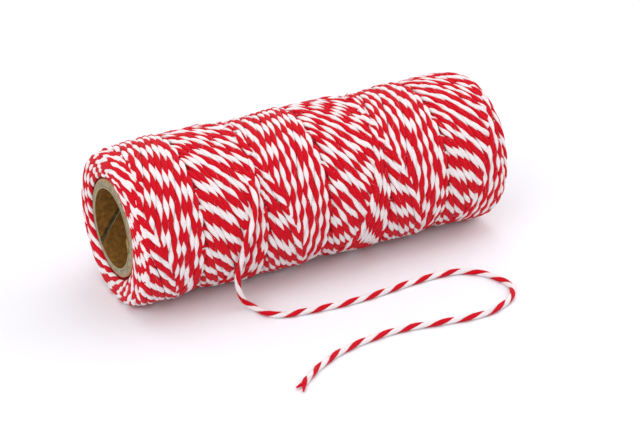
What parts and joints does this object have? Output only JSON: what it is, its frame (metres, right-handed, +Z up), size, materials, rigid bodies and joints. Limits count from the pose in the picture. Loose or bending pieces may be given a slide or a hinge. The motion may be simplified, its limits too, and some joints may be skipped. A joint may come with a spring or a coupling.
{
  "type": "spool of bakers twine",
  "caption": "Red and white bakers twine wound in slanting bands on an open cardboard tube, lying on its side, with a loose end curving out in front.",
  "frame": {"origin": "under the middle of the spool, on the surface that it rests on", "axes": "+X along the tube's axis towards the far end, +Z up, -Y towards the side where the loose end lies"},
  "size_m": [0.1274, 0.0971, 0.0481],
  "materials": {
    "twine": "matte cotton, one red ply and one white ply",
    "board": "matte kraft board, paler at its cut ends"
  },
  "bodies": {
    "root": {"core_tube": "board", "wound_twine": "twine", "loose_end": "twine"}
  },
  "joints": []
}
